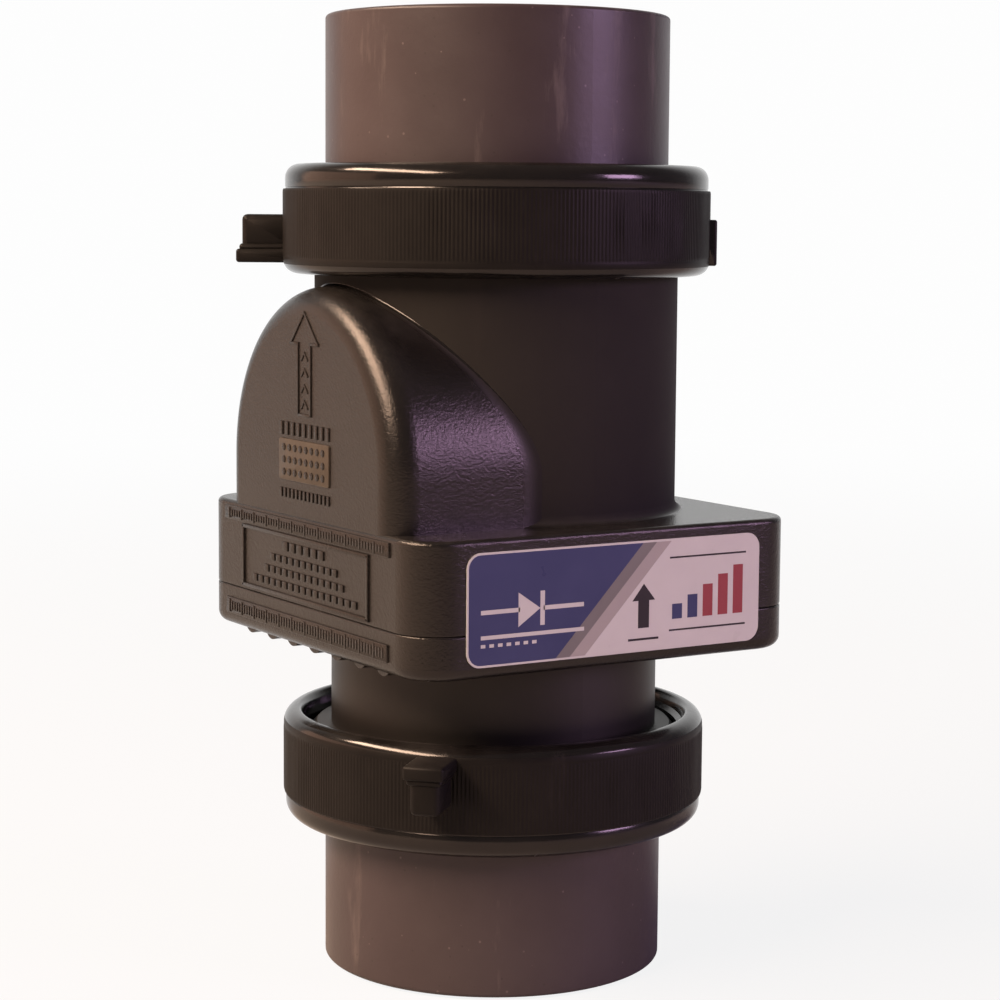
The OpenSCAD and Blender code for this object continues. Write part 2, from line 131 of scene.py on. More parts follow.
soft_box("soft_box_left", (-0.62, -0.78, 0.10), (0, 0, 1), (1.0, 1.7), 7.6, (1.0, 0.59, 0.41))
soft_box("soft_box_above", (-0.10, -0.75, 0.65), (0.95, -0.30, -0.20), (1.7, 0.30), 66.0, (1.0, 0.74, 0.55))
soft_box("soft_box_right", (0.78, 0.62, 0.25), (0, 0, 1), (0.40, 0.50), 12.0, (0.88, 0.58, 1.0))

# %% [markdown]
# ## Node helpers
# The backdrop and the finishes are made of shader nodes. Placing a node, setting its sockets and linking them
# are separate calls in Blender, so these helpers do all three: a socket that is given another node's output
# is linked to it, and anything else becomes the socket's value.

# %% Node helpers
def put(tree, kind, operation=None, **values):
    """A new node. Sockets go by name, with _ for a space, or by place, as i0, i1 and so on."""
    node = tree.nodes.new(kind)
    if operation:
        node.operation = operation
    for socket, value in values.items():
        key = int(socket[1:]) if socket[0] == "i" and socket[1:].isdigit() else socket.replace("_", " ")
        target = node.inputs[key]
        if isinstance(value, bpy.types.NodeSocket):
            tree.links.new(value, target)
        else:
            target.default_value = value
    return node


def math_of(tree, operation, a, b):
    return put(tree, "ShaderNodeMath", operation, i0=a, i1=b).outputs[0]


def ramp_of(tree, value, low, high, to_low=0.0, to_high=1.0, curve="LINEAR"):
    node = put(tree, "ShaderNodeMapRange", Value=value, From_Min=low, From_Max=high,
               To_Min=to_low, To_Max=to_high)
    node.interpolation_type = curve
    return node.outputs[0]


def either_of(tree, share, first, second):
    return put(tree, "ShaderNodeMixShader", i0=share, i1=first, i2=second).outputs[0]


print("node helpers ready")

# %% [markdown]
# ## Backdrop
# The picture has a white ground, but white all round would wash out the black plastic. So the white is only
# what certain rays meet: those of the camera, those through clear things, and mirror rays that leave towards
# the backdrop behind the valve. All other rays meet a dim grey room. This adds no light to the valve.

# %% White backdrop in a dim room
TOWARDS_BACKDROP = (-0.85, 0.52, 0.0)
PAPER_WHITE = (0.985, 0.985, 0.985, 1)


def background_rays(tree, direction):
    """1 for rays that show the white backdrop: camera and clear rays, and mirror rays towards it."""
    path = tree.nodes.new("ShaderNodeLightPath").outputs
    unit = put(tree, "ShaderNodeVectorMath", "NORMALIZE", i0=direction).outputs[0]
    facing = put(tree, "ShaderNodeVectorMath", "DOT_PRODUCT", i0=unit, i1=TOWARDS_BACKDROP).outputs["Value"]
    behind = ramp_of(tree, facing, 0.5, 0.9, curve="SMOOTHSTEP")
    seen = math_of(tree, "MULTIPLY", path["Is Glossy Ray"], behind)
    seen = math_of(tree, "MAXIMUM", path["Is Camera Ray"], seen)
    return math_of(tree, "MAXIMUM", path["Is Transmission Ray"], seen)


world = bpy.data.worlds.new("studio")
world.use_nodes = True
scene.world = world
tree = world.node_tree
tree.nodes.clear()
room = put(tree, "ShaderNodeBackground", Color=(0.93, 0.92, 0.94, 1), Strength=0.16)
white = put(tree, "ShaderNodeBackground", Color=PAPER_WHITE, Strength=1.0)
outward = tree.nodes.new("ShaderNodeTexCoord").outputs["Generated"]
seen = either_of(tree, background_rays(tree, outward), room.outputs[0], white.outputs[0])
put(tree, "ShaderNodeOutputWorld", Surface=seen)
print("world:", world.name)

# %% [markdown]
# ## Floor
# The valve stands on matt grey paper. To the camera it is mostly white too, a little less so near the valve,
# where the matt share keeps the shadow. It lies a hair below the valve, so that the two don't share a face,
# and it is clear from below, so that the underside can be looked at.

# %% Paper floor
FLOOR_HALF, FLOOR_Z = 4.0, -0.0004
floor_mesh = bpy.data.meshes.new("floor")
corners = [(x * FLOOR_HALF, y * FLOOR_HALF, FLOOR_Z) for x, y in ((-1, -1), (1, -1), (1, 1), (-1, 1))]
floor_mesh.from_pydata(corners, [], [(0, 1, 2, 3)])
floor = bpy.data.objects.new("floor", floor_mesh)
scene.collection.objects.link(floor)
paper = bpy.data.materials.new("floor_paper")
paper.use_nodes = True
tree = paper.node_tree
tree.nodes.clear()
matt = put(tree, "ShaderNodeBsdfDiffuse", Color=(0.50, 0.50, 0.50, 1)).outputs[0]
glow = put(tree, "ShaderNodeEmission", Color=PAPER_WHITE).outputs[0]
clear = tree.nodes.new("ShaderNodeBsdfTransparent").outputs[0]
place = tree.nodes.new("ShaderNodeTexCoord").outputs["Object"]
reach = put(tree, "ShaderNodeVectorMath", "LENGTH", i0=place).outputs["Value"]
white_share = ramp_of(tree, reach, 0.1, 1.2, 0.88, 1.0, "SMOOTHSTEP")
from_above = either_of(tree, math_of(tree, "MULTIPLY", background_rays(tree, place), white_share), matt, glow)
beneath = tree.nodes.new("ShaderNodeNewGeometry").outputs["Backfacing"]
put(tree, "ShaderNodeOutputMaterial", Surface=either_of(tree, beneath, from_above, clear))
floor_mesh.materials.append(paper)
print("floor:", 2 * FLOOR_HALF, "m wide")

# %% [markdown]
# ## Shared effects
# Several finishes need the same effects: the fine grain that a mould leaves, rub marks and dust from
# handling, specks in the plastic, and the rings that a lathe leaves on steel. Each is a node group, so that
# it is built once and tuned where it is used. All of them read object coordinates, which stay with a piece
# when it moves.

# %% Group helper
def start_group(name, inputs, outputs):
    group = bpy.data.node_groups.new(name, "ShaderNodeTree")
    for label, value in inputs:
        socket = group.interface.new_socket(label, in_out="INPUT", socket_type="NodeSocketFloat")
        socket.default_value = value
    for label in outputs:
        group.interface.new_socket(label, in_out="OUTPUT", socket_type="NodeSocketFloat")
    return group, group.nodes.new("NodeGroupInput").outputs, group.nodes.new("NodeGroupOutput").inputs


print("group helper ready")

# %% [markdown]
# A mould that was etched leaves a grain of small rounded cells. Noise alone looks like sand, and cells alone
# look like leather, so the height is a mix of both. The second output is a slow cloud, which keeps a large
# face from having one flat colour.

# %% Moulded grain
grain, given, out = start_group("moulded_grain", [("Grain", 1500.0), ("Cloud", 60.0)], ["Height", "Cloud"])
place = grain.nodes.new("ShaderNodeTexCoord").outputs["Object"]
fine = put(grain, "ShaderNodeTexNoise", Vector=place, Scale=given["Grain"], Detail=3.0, Roughness=0.6)
cells = put(grain, "ShaderNodeTexVoronoi", Vector=place)
cells.feature = "SMOOTH_F1"
grain.links.new(math_of(grain, "MULTIPLY", given["Grain"], 0.55), cells.inputs["Scale"])
slow = put(grain, "ShaderNodeTexNoise", Vector=place, Scale=given["Cloud"], Detail=4.0, Roughness=0.55)
both = put(grain, "ShaderNodeMath", "MULTIPLY_ADD", i0=cells.outputs["Distance"], i1=0.6, i2=fine.outputs[0])
grain.links.new(both.outputs[0], out["Height"])
grain.links.new(ramp_of(grain, slow.outputs[0], 0.3, 0.7), out["Cloud"])
print("group:", grain.name)

# %% [markdown]
# Handling leaves thin rub marks that run with the part's length, and dust settles on faces that look up. Both
# are masks: a material mixes them into its colour and its roughness as strongly as it likes.

# %% Handling marks
marks, given, out = start_group("handling_marks", [("Scale", 140.0), ("Spread", 0.62)], ["Rub", "Dust"])
place = marks.nodes.new("ShaderNodeTexCoord").outputs["Object"]
longwise = put(marks, "ShaderNodeMapping", Vector=place, Scale=(1.0, 1.0, 0.16))
rub = put(marks, "ShaderNodeTexNoise", Vector=longwise.outputs[0], Scale=given["Scale"], Detail=6.0,
          Roughness=0.7)
edge = math_of(marks, "ADD", given["Spread"], 0.14)
rubbed = ramp_of(marks, rub.outputs[0], given["Spread"], edge)
normal = marks.nodes.new("ShaderNodeNewGeometry").outputs["Normal"]
facing = put(marks, "ShaderNodeSeparateXYZ", Vector=normal)
level = ramp_of(marks, facing.outputs["Z"], 0.35, 0.98)
patches = put(marks, "ShaderNodeTexNoise", Vector=place, Scale=90.0, Detail=5.0, Roughness=0.65)
dust = math_of(marks, "MULTIPLY", level, ramp_of(marks, patches.outputs[0], 0.38, 0.72))
marks.links.new(rubbed, out["Rub"])
marks.links.new(dust, out["Dust"])
print("group:", marks.name)

# %% [markdown]
# Grey pipe plastic is never clean: it has dark and pale specks and tiny pits. They are the small centres of a
# cell pattern, cut off close to each centre, and each cell's own random colour decides whether it has one.

# %% Specks and pits
specks, given, out = start_group("moulding_specks", [("Scale", 420.0), ("Size", 0.16)], ["Speck", "Pale"])
place = specks.nodes.new("ShaderNodeTexCoord").outputs["Object"]
spots = put(specks, "ShaderNodeTexVoronoi", Vector=place, Scale=given["Scale"])
chance = put(specks, "ShaderNodeSeparateColor", Color=spots.outputs["Color"])
inside = math_of(specks, "LESS_THAN", spots.outputs["Distance"], given["Size"])
few = math_of(specks, "GREATER_THAN", chance.outputs["Red"], 0.86)
rare = math_of(specks, "GREATER_THAN", chance.outputs["Green"], 0.93)
specks.links.new(math_of(specks, "MULTIPLY", inside, few), out["Speck"])
specks.links.new(math_of(specks, "MULTIPLY", inside, rare), out["Pale"])
print("group:", specks.name)

# %% [markdown]
# Steel plates, washers and pins are turned on a lathe. The tool leaves rings, so the height of this effect
# depends on the distance from the Z axis, broken up by a little noise.

# %% Turned rings
rings, given, out = start_group("turned_rings", [("Pitch", 9000.0), ("Cloud", 120.0)], ["Height", "Stain"])
place = rings.nodes.new("ShaderNodeTexCoord").outputs["Object"]
flat = put(rings, "ShaderNodeMapping", Vector=place, Scale=(1.0, 1.0, 0.0))
reach = put(rings, "ShaderNodeVectorMath", "LENGTH", i0=flat.outputs[0])
along = put(rings, "ShaderNodeCombineXYZ", X=reach.outputs["Value"])
lines = put(rings, "ShaderNodeTexNoise", Vector=along.outputs[0], Scale=given["Pitch"], Detail=2.0)
stain = put(rings, "ShaderNodeTexNoise", Vector=place, Scale=given["Cloud"], Detail=5.0, Roughness=0.6)
rings.links.new(lines.outputs[0], out["Height"])
rings.links.new(ramp_of(rings, stain.outputs[0], 0.4, 0.75), out["Stain"])
print("group:", rings.name)

# %% [markdown]
# ## Finishes
# Each finish starts from Blender's Principled shader. Values that are the same all over the surface are set
# on the shader itself, and only what changes over the surface, such as a mixed colour, is linked to it.

# %% Material helpers
def start_material(name, roughness, specular, metallic=0.0, sheen=(1.0, 1.0, 1.0)):
    material = bpy.data.materials.new(name)
    material.use_nodes = True
    tree = material.node_tree
    surface = tree.nodes["Principled BSDF"]
    surface.inputs["Roughness"].default_value = roughness
    surface.inputs["Specular IOR Level"].default_value = specular
    surface.inputs["Metallic"].default_value = metallic
    surface.inputs["Specular Tint"].default_value = (*sheen, 1)
    return material, tree, surface


def use_group(tree, group, **values):
    node = tree.nodes.new("ShaderNodeGroup")
    node.node_tree = group
    for label, value in values.items():
        node.inputs[label].default_value = value
    return node.outputs


def mixed(tree, factor, a, b):
    node = tree.nodes.new("ShaderNodeMix")
    node.data_type = "RGBA"
    for index, value in ((0, factor), (6, a), (7, b)):
        if isinstance(value, bpy.types.NodeSocket):
            tree.links.new(value, node.inputs[index])
        else:
            node.inputs[index].default_value = value if index == 0 else (*value, 1)
    return node.outputs[2]


def tinted(tree, colour, mask, share, tint):
    """The colour with a share of the tint where the mask is."""
    return mixed(tree, math_of(tree, "MULTIPLY", mask, share), colour, tint)


def raise_surface(tree, surface, height, strength, depth_mm):
    bump = put(tree, "ShaderNodeBump", Height=height, Strength=strength, Distance=depth_mm * MM)
    tree.links.new(bump.outputs[0], surface.inputs["Normal"])


print("material helpers ready")

# %% [markdown]
# The body is a warm black plastic. Its etched grain is strong on the chamber and the block and almost gone on
# the turned tubes, so one mask, the distance from the flow axis, fades it. The outlet tube is duller than the
# inlet tube, which a second mask does by height. The small pad on the chamber is a browner, lighter copy of
# the same plastic: a painted sheen that stands in for the lamps it mirrors.

# %% Black body plastic
WARM_BLACK = (0.0060, 0.0051, 0.0047), (0.0090, 0.0077, 0.0070)
body_black, tree, surface = start_material("body_black", 0.42, 0.35, sheen=(1.0, 0.90, 0.84))
etched = use_group(tree, grain, Grain=2800.0, Cloud=55.0)
handled = use_group(tree, marks, Scale=120.0, Spread=0.64)
place = tree.nodes.new("ShaderNodeTexCoord").outputs["Object"]
flat = put(tree, "ShaderNodeMapping", Vector=place, Scale=(1.0, 1.0, 0.0))
reach = put(tree, "ShaderNodeVectorMath", "LENGTH", i0=flat.outputs[0])
off_tube = ramp_of(tree, reach.outputs["Value"], 37.7 * MM, 39.0 * MM)
colour = tinted(tree, mixed(tree, etched["Cloud"], *WARM_BLACK), handled["Rub"], 0.5, (0.020, 0.0165, 0.015))
colour = tinted(tree, colour, handled["Dust"], 0.15, (0.11, 0.10, 0.092))
tree.links.new(colour, surface.inputs["Base Color"])
height = put(tree, "ShaderNodeSeparateXYZ", Vector=place).outputs["Z"]
duller = ramp_of(tree, height, 70 * MM, 80 * MM, 0.22, 0.60)
on_tube = math_of(tree, "SUBTRACT", 1.0, off_tube)
rough = math_of(tree, "ADD", math_of(tree, "MULTIPLY", on_tube, duller), 0.24)
rough = math_of(tree, "ADD", rough, math_of(tree, "MULTIPLY", handled["Rub"], 0.12))
tree.links.new(rough, surface.inputs["Roughness"])
raise_surface(tree, surface, etched["Height"], ramp_of(tree, off_tube, 0.0, 1.0, 0.10, 0.80), 0.09)

# A browner, lighter copy of the body plastic: painted sheen that stands in for the lamps the raised pad
# mirrors.
pad_painted_sheen, tree, surface = start_material("pad_painted_sheen", 0.5, 0.35, sheen=(1.0, 0.90, 0.84))
etched = use_group(tree, grain, Grain=2600.0, Cloud=160.0)
colour = mixed(tree, etched["Cloud"], (0.030, 0.023, 0.017), (0.048, 0.037, 0.027))
tree.links.new(colour, surface.inputs["Base Color"])
tree.links.new(ramp_of(tree, etched["Cloud"], 0.0, 1.0, 0.36, 0.52), surface.inputs["Roughness"])
raise_surface(tree, surface, etched["Height"], 0.5, 0.09)
print("materials:", body_black.name, pad_painted_sheen.name)

# %% [markdown]
# The nuts come from a polished mould, so their lips and mouths shine. The ribbed band is worn dull by hands,
# and its ribs would mirror every lamp as a stripe if it shone too. One function makes both finishes.

# %% Black nut plastic
def nut_plastic(name, specular, smooth, dull):
    material, tree, surface = start_material(name, smooth, specular, sheen=(1.0, 0.92, 0.88))
    etched = use_group(tree, grain, Grain=700.0, Cloud=80.0)
    handled = use_group(tree, marks, Scale=160.0, Spread=0.60)
    colour = mixed(tree, etched["Cloud"], *WARM_BLACK)
    colour = tinted(tree, colour, handled["Rub"], 0.55, (0.022, 0.018, 0.0165))
    colour = tinted(tree, colour, handled["Dust"], 0.12, (0.10, 0.092, 0.085))
    tree.links.new(colour, surface.inputs["Base Color"])
    rough = ramp_of(tree, etched["Cloud"], 0.0, 1.0, smooth, dull)
    rough = math_of(tree, "ADD", rough, math_of(tree, "MULTIPLY", handled["Rub"], 0.18))
    tree.links.new(rough, surface.inputs["Roughness"])
    raise_surface(tree, surface, etched["Height"], 0.08, 0.2)
    return material


nut_black = nut_plastic("nut_black", 0.35, 0.13, 0.19)
nut_grip = nut_plastic("nut_grip", 0.11, 0.42, 0.50)
print("materials:", nut_black.name, nut_grip.name)

# %% [markdown]
# The tailpieces are grey pipe plastic: a duller, lighter and warmer surface with specks, a few pale ones, and
# faint rub marks along the length from pushing pipes and nuts over it.

# %% Grey tailpiece plastic
tail_grey, tree, surface = start_material("tailpiece_grey", 0.5, 0.30)
etched = use_group(tree, grain, Grain=900.0, Cloud=45.0)
handled = use_group(tree, marks, Scale=110.0, Spread=0.60)
spotted = use_group(tree, specks, Scale=640.0, Size=0.15)
colour = mixed(tree, etched["Cloud"], (0.0390, 0.0270, 0.0280), (0.0490, 0.0355, 0.0365))
colour = tinted(tree, colour, handled["Rub"], 0.45, (0.15, 0.118, 0.108))
colour = tinted(tree, colour, spotted["Speck"], 0.55, (0.030, 0.023, 0.022))
colour = tinted(tree, colour, spotted["Pale"], 0.3, (0.20, 0.155, 0.145))
tree.links.new(colour, surface.inputs["Base Color"])
rough = ramp_of(tree, etched["Cloud"], 0.0, 1.0, 0.36, 0.44)
rough = math_of(tree, "ADD", rough, math_of(tree, "MULTIPLY", handled["Rub"], 0.08))
tree.links.new(rough, surface.inputs["Roughness"])
raise_surface(tree, surface, math_of(tree, "SUBTRACT", etched["Height"], spotted["Speck"]), 0.14, 0.2)
print("material:", tail_grey.name)

# %% [markdown]
# The inner pieces are stainless steel, rubber and white bush plastic. Steel has a high metallic value and the
# lathe rings. Rubber is almost matt, with a bloom that greys it in patches.

# %% Steel, rubber and bush plastic
steel, tree, surface = start_material("stainless_steel", 0.3, 0.5, 1.0)
turned = use_group(tree, rings, Pitch=7000.0, Cloud=110.0)
colour = mixed(tree, turned["Stain"], (0.56, 0.555, 0.55), (0.45, 0.44, 0.43))
tree.links.new(colour, surface.inputs["Base Color"])
tree.links.new(ramp_of(tree, turned["Stain"], 0.0, 1.0, 0.24, 0.38), surface.inputs["Roughness"])
raise_surface(tree, surface, turned["Height"], 0.2, 0.05)

rubber, tree, surface = start_material("seal_rubber", 0.62, 0.3)
etched = use_group(tree, grain, Grain=1100.0, Cloud=90.0)
handled = use_group(tree, marks, Scale=150.0, Spread=0.58)
colour = mixed(tree, etched["Cloud"], (0.012, 0.012, 0.013), (0.026, 0.026, 0.027))
colour = tinted(tree, colour, handled["Dust"], 0.3, (0.09, 0.088, 0.085))
tree.links.new(colour, surface.inputs["Base Color"])
tree.links.new(ramp_of(tree, etched["Cloud"], 0.0, 1.0, 0.55, 0.72), surface.inputs["Roughness"])
raise_surface(tree, surface, etched["Height"], 0.25, 0.15)

bush_white, tree, surface = start_material("bush_acetal", 0.35, 0.5)
etched = use_group(tree, grain, Grain=1300.0, Cloud=150.0)
colour = mixed(tree, etched["Cloud"], (0.70, 0.67, 0.58), (0.78, 0.75, 0.67))
tree.links.new(colour, surface.inputs["Base Color"])
tree.links.new(ramp_of(tree, etched["Cloud"], 0.0, 1.0, 0.30, 0.42), surface.inputs["Roughness"])
raise_surface(tree, surface, etched["Height"], 0.1, 0.1)
print("materials:", steel.name, rubber.name, bush_white.name)

# %% [markdown]
# The label is a printed film under a clear laminate. Each ink has a little mottle, and the laminate gives all
# of them the same soft gloss.

# %% Label film and inks
def ink(name, colour, pale):
    material, tree, surface = start_material(name, 0.3, 0.2)
    etched = use_group(tree, grain, Grain=2600.0, Cloud=130.0)
    handled = use_group(tree, marks, Scale=220.0, Spread=0.66)
    colour = tinted(tree, colour, etched["Cloud"], 0.6, pale)
    colour = tinted(tree, colour, handled["Rub"], 0.12, (0.5, 0.46, 0.48))
    tree.links.new(colour, surface.inputs["Base Color"])
    tree.links.new(ramp_of(tree, etched["Cloud"], 0.0, 1.0, 0.27, 0.36), surface.inputs["Roughness"])
    raise_surface(tree, surface, etched["Height"], 0.05, 0.05)
    return material


film_white = ink("label_film", (0.47, 0.455, 0.435), (0.50, 0.485, 0.465))
ink_blue = ink("label_blue", (0.036, 0.041, 0.105), (0.043, 0.048, 0.118))
ink_slate = ink("label_slate", (0.15, 0.138, 0.134), (0.165, 0.152, 0.148))
ink_silver = ink("label_silver", (0.30, 0.27, 0.258), (0.325, 0.295, 0.28))
ink_black = ink("label_black", (0.022, 0.018, 0.021), (0.030, 0.025, 0.028))
ink_red = ink("label_red", (0.23, 0.042, 0.050), (0.26, 0.050, 0.058))
print("inks ready")

# %% [markdown]
# ## CAD nodes that stay
# Where a solid already has the right shape it stays and only gets its finish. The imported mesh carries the
# exact normals of its round faces and its moulded edge rounds, so a bevel modifier would only disturb them.

# %% Dress the CAD nodes
for name, material in (
    ("upper_body", body_black), ("lower_body", body_black), ("flapper_carrier", body_black),
    ("outlet_tailpiece", tail_grey), ("inlet_tailpiece", tail_grey), ("flapper_seal", rubber),
    ("outlet_o_ring", rubber), ("inlet_o_ring", rubber), ("seal_retainer", steel), ("flapper_washer", steel),
    ("hinge_pin", steel), ("hinge_bush_left", bush_white), ("hinge_bush_right", bush_white),
    ("side_label", film_white),
):
    nodes[name].data.materials.clear()
    nodes[name].data.materials.append(material)
    print("dressed", name, "in", material.name)

# %% [markdown]
# ## Mesh helpers
# New pieces are written straight into bmesh. Two forms do most of the work: a ring of loops, for everything
# turned or moulded round an axis, and a plate with a soft top edge, for everything raised on a flat face.

# %% Pieces from rings and plates
def make_piece(name, bm, body, material, sharp_deg=40):
    mesh = bpy.data.meshes.new(name)
    bmesh.ops.recalc_face_normals(bm, faces=bm.faces)
    bm.to_mesh(mesh)
    bm.free()
    mesh.shade_smooth()
    mesh.set_sharp_from_angle(angle=math.radians(sharp_deg))
    for one in material if isinstance(material, (list, tuple)) else [material]:
        mesh.materials.append(one)
    piece = bpy.data.objects.new(name, mesh)
    scene.collection.objects.link(piece)
    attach(piece, body)
    print(f"{name}: {len(mesh.polygons)} faces on {body}")
    return piece


def add_loops(bm, loops, closed=False, caps=False):
    rows = [[bm.verts.new(Vector(p) * MM) for p in loop] for loop in loops]
    count = len(rows[0])
    pairs = list(zip(rows, rows[1:])) + ([(rows[-1], rows[0])] if closed else [])
    for low, high in pairs:
        for k in range(count):
            bm.faces.new((low[k], low[(k + 1) % count], high[(k + 1) % count], high[k]))
    if caps:
        bm.faces.new(rows[0][::-1])
        bm.faces.new(rows[-1])


def turned_loop(radius, z, count):
    angles = [2 * math.pi * k / count for k in range(count)]
    return [(radius(a) * math.cos(a), radius(a) * math.sin(a), z) for a in angles]


def add_plate(bm, outline, to_space, low, high, soft, both=False):
    """A raised plate: its outline in face coordinates, drawn in by soft at the top edge, or at both edges."""
    def drawn_in(amount):
        moved = []
        for k, p in enumerate(outline):
            before, after = Vector(outline[k - 1]), Vector(outline[(k + 1) % len(outline)])
            a, b = (Vector(p) - before).normalized(), (after - Vector(p)).normalized()
            turn = 1 if area > 0 else -1
            na, nb = Vector((-a.y, a.x)) * turn, Vector((-b.y, b.x)) * turn
            moved.append(Vector(p) + (na + nb) / max(0.3, 1 + na.dot(nb)) * amount)
        return moved

    area = sum(outline[k - 1][0] * p[1] - p[0] * outline[k - 1][1] for k, p in enumerate(outline))
    steps = [(0, low), (0, high)]
    if soft:
        steps[1:] = [(0, high - soft), (soft * 0.3, high - soft * 0.3), (soft, high)]
    if both:
        steps[:1] = [(soft, low), (soft * 0.3, low + soft * 0.3), (0, low + soft)]
    rows = []
    for amount, height in steps:
        rows.append([bm.verts.new(to_space(p[0], p[1], height) * MM) for p in drawn_in(amount)])
    count = len(outline)
    faces = []
    for under, over in zip(rows, rows[1:]):
        for k in range(count):
            faces.append(bm.faces.new((under[k], under[(k + 1) % count], over[(k + 1) % count], over[k])))
    faces.append(bm.faces.new(rows[0][::-1]))
    faces.append(bm.faces.new(rows[-1]))
    return faces


def rectangle(x, z, half_w, half_h, corner=0.0, steps=4):
    signs = ((1, -1), (1, 1), (-1, 1), (-1, -1))
    if not corner:
        return [(x + sx * half_w, z + sz * half_h) for sx, sz in (signs[-1], *signs[:-1])]
    points = []
    for quarter, (sx, sz) in enumerate(signs):
        for k in range(steps + 1):
            angle = math.radians(-90 + 90 * quarter + 90 * k / steps)
            points.append((x + sx * (half_w - corner) + corner * math.cos(angle),
                           z + sz * (half_h - corner) + corner * math.sin(angle)))
    return points


print("mesh helpers ready")

# %% [markdown]
# ## Union nuts
# A union nut is a ring with a polished lip end, a band of fine upright ribs for the hand, one T-shaped lug
# for a spanner strap and a low pad opposite. The ribs are far too many for single solids, so the whole nut is
# one grid: its section is walked round once, and every fourth of a rib gets its own column. Only the rows on
# the band let the radius follow the ribs. Faces outside the band's radius get the dull grip finish.

# %% Nut section and ribs
RIBS = 336
COLUMNS = 4 * RIBS
LIP_R, SHOULDER_R, BAND_R, BORE_R = 35.6, 43.5, 43.9, 39.75
NUT_H, RIB, LIP_ROUND, MOUTH_ROUND = 22.2, 0.15, 2.8, 2.9
MOUTH_R = BAND_R + 0.05


def nut_section():
    """Radius, height from the lip face and share of the rib, once round the section."""
    quarter = [math.radians(10 * k) for k in range(1, 10)]
    yield from ((36.1, 0.0, 0), (38.4, 0.0, 0), (SHOULDER_R - LIP_ROUND, 0.0, 0))
    for angle in quarter:
        yield (SHOULDER_R - LIP_ROUND + LIP_ROUND * math.sin(angle),
               LIP_ROUND - LIP_ROUND * math.cos(angle), 0)
    yield from ((SHOULDER_R, 4.55, 0), (SHOULDER_R - 0.12, 4.75, 0), (SHOULDER_R - 0.05, 4.95, 0))
    yield from ((BAND_R, 5.05, 0), (BAND_R, 5.35, 0.75), (BAND_R, 5.7, 1), (BAND_R, 12.0, 1))
    yield from ((BAND_R, 18.2, 1), (BAND_R, 18.6, 0.7), (BAND_R, 18.9, 0.2))
    yield from ((MOUTH_R, 19.1, 0), (MOUTH_R, 19.3, 0))
    for angle in quarter:
        yield (MOUTH_R - MOUTH_ROUND + MOUTH_ROUND * math.cos(angle),
               NUT_H - MOUTH_ROUND + MOUTH_ROUND * math.sin(angle), 0)
    yield from ((40.7, NUT_H, 0), (40.3, 21.9, 0), (BORE_R, 20.8, 0), (BORE_R, 5.3, 0))
    yield from ((39.4, 5.0, 0), (36.0, 5.0, 0), (LIP_R, 4.6, 0), (LIP_R, 0.5, 0))


def rib_height(angle):
    phase = angle / (2 * math.pi) * RIBS
    worn = 0.80 + 0.12 * math.sin(7 * angle) + 0.08 * math.sin(31 * angle + 1.3)
    return RIB * worn * (0.5 - 0.5 * math.cos(2 * math.pi * phase)) ** 0.6


print("nut section:", len(list(nut_section())), "rows of", COLUMNS)

# %% [markdown]
# The lug is three overlapping bars with soft edges: the stem, the neck and the flange of the T. They could be
# joined to the ring with a boolean, but bars that reach into it look the same and keep the grid clean. The
# pad on the far side is one more bar. Both nuts are the same, one of them turned over.

# %% Lug, pad and both nuts
LUG_AND_PAD = (
    # from and to along the radius, low and high, half width, soft edge
    (41.5, 52.5, 10.3, 17.6, 3.0, 1.1),
    (41.5, 53.0, 16.3, 17.8, 3.6, 0.7),
    (41.5, 53.6, 17.4, 20.2, 4.1, 0.6),
    (-45.3, -41.7, 10.8, 20.2, 4.0, 0.5),
)


def add_lug(bm, place):
    for near, far, low, high, half_w, soft in LUG_AND_PAD:
        outline = rectangle((near + far) / 2, (low + high) / 2, (far - near) / 2, (high - low) / 2, soft)
        add_plate(bm, outline, lambda x, z, out: place(x, out, z), -half_w, half_w, soft, both=True)


def make_nut(name, node, body, z_lip, way, lug_deg):
    bm = bmesh.new()
    loops = []
    for radius, height, share in nut_section():
        def ribbed(angle, radius=radius, share=share):
            return radius + share * rib_height(angle)
        loops.append(turned_loop(ribbed, z_lip + way * height, COLUMNS))
    add_loops(bm, loops, closed=True)
    turn = Matrix.Rotation(math.radians(lug_deg), 3, "Z")
    add_lug(bm, lambda x, y, z: turn @ Vector((x, y, 0)) + Vector((0, 0, z_lip + way * z)))
    for face in bm.faces:
        face.material_index = face.calc_center_median().xy.length > (BAND_R - 0.1) * MM
    nut = make_piece(name, bm, body, [nut_black, nut_grip], 45)
    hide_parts(node)


INLET_LIP_Z, OUTLET_LIP_Z = 30.2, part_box("outlet_union_nut")[1].z / MM
make_nut("inlet_ribbed_nut", "inlet_union_nut", "inlet_nut", INLET_LIP_Z, 1, -46)
make_nut("outlet_ribbed_nut", "outlet_union_nut", "outlet_nut", OUTLET_LIP_Z, -1, 236)

# %% [markdown]
# ## Threads
# The solids leave plain cylinders where the threads are. A thread is a ridge that climbs one pitch per turn,
# so it is a short section swept round the axis. Body and nut use the same right-hand helix, half a pitch
# apart, and the nut's turn is coupled to its slide by the same pitch, so the ridges stay clear at every pose.

# %% Helical ridges
PITCH, RIDGE_FOOT, RIDGE_CREST = 5.0, 2.8, 1.2
BODY_ROOT_R, BODY_CREST_R, NUT_CREST_R = 38.4, 39.35, 38.75


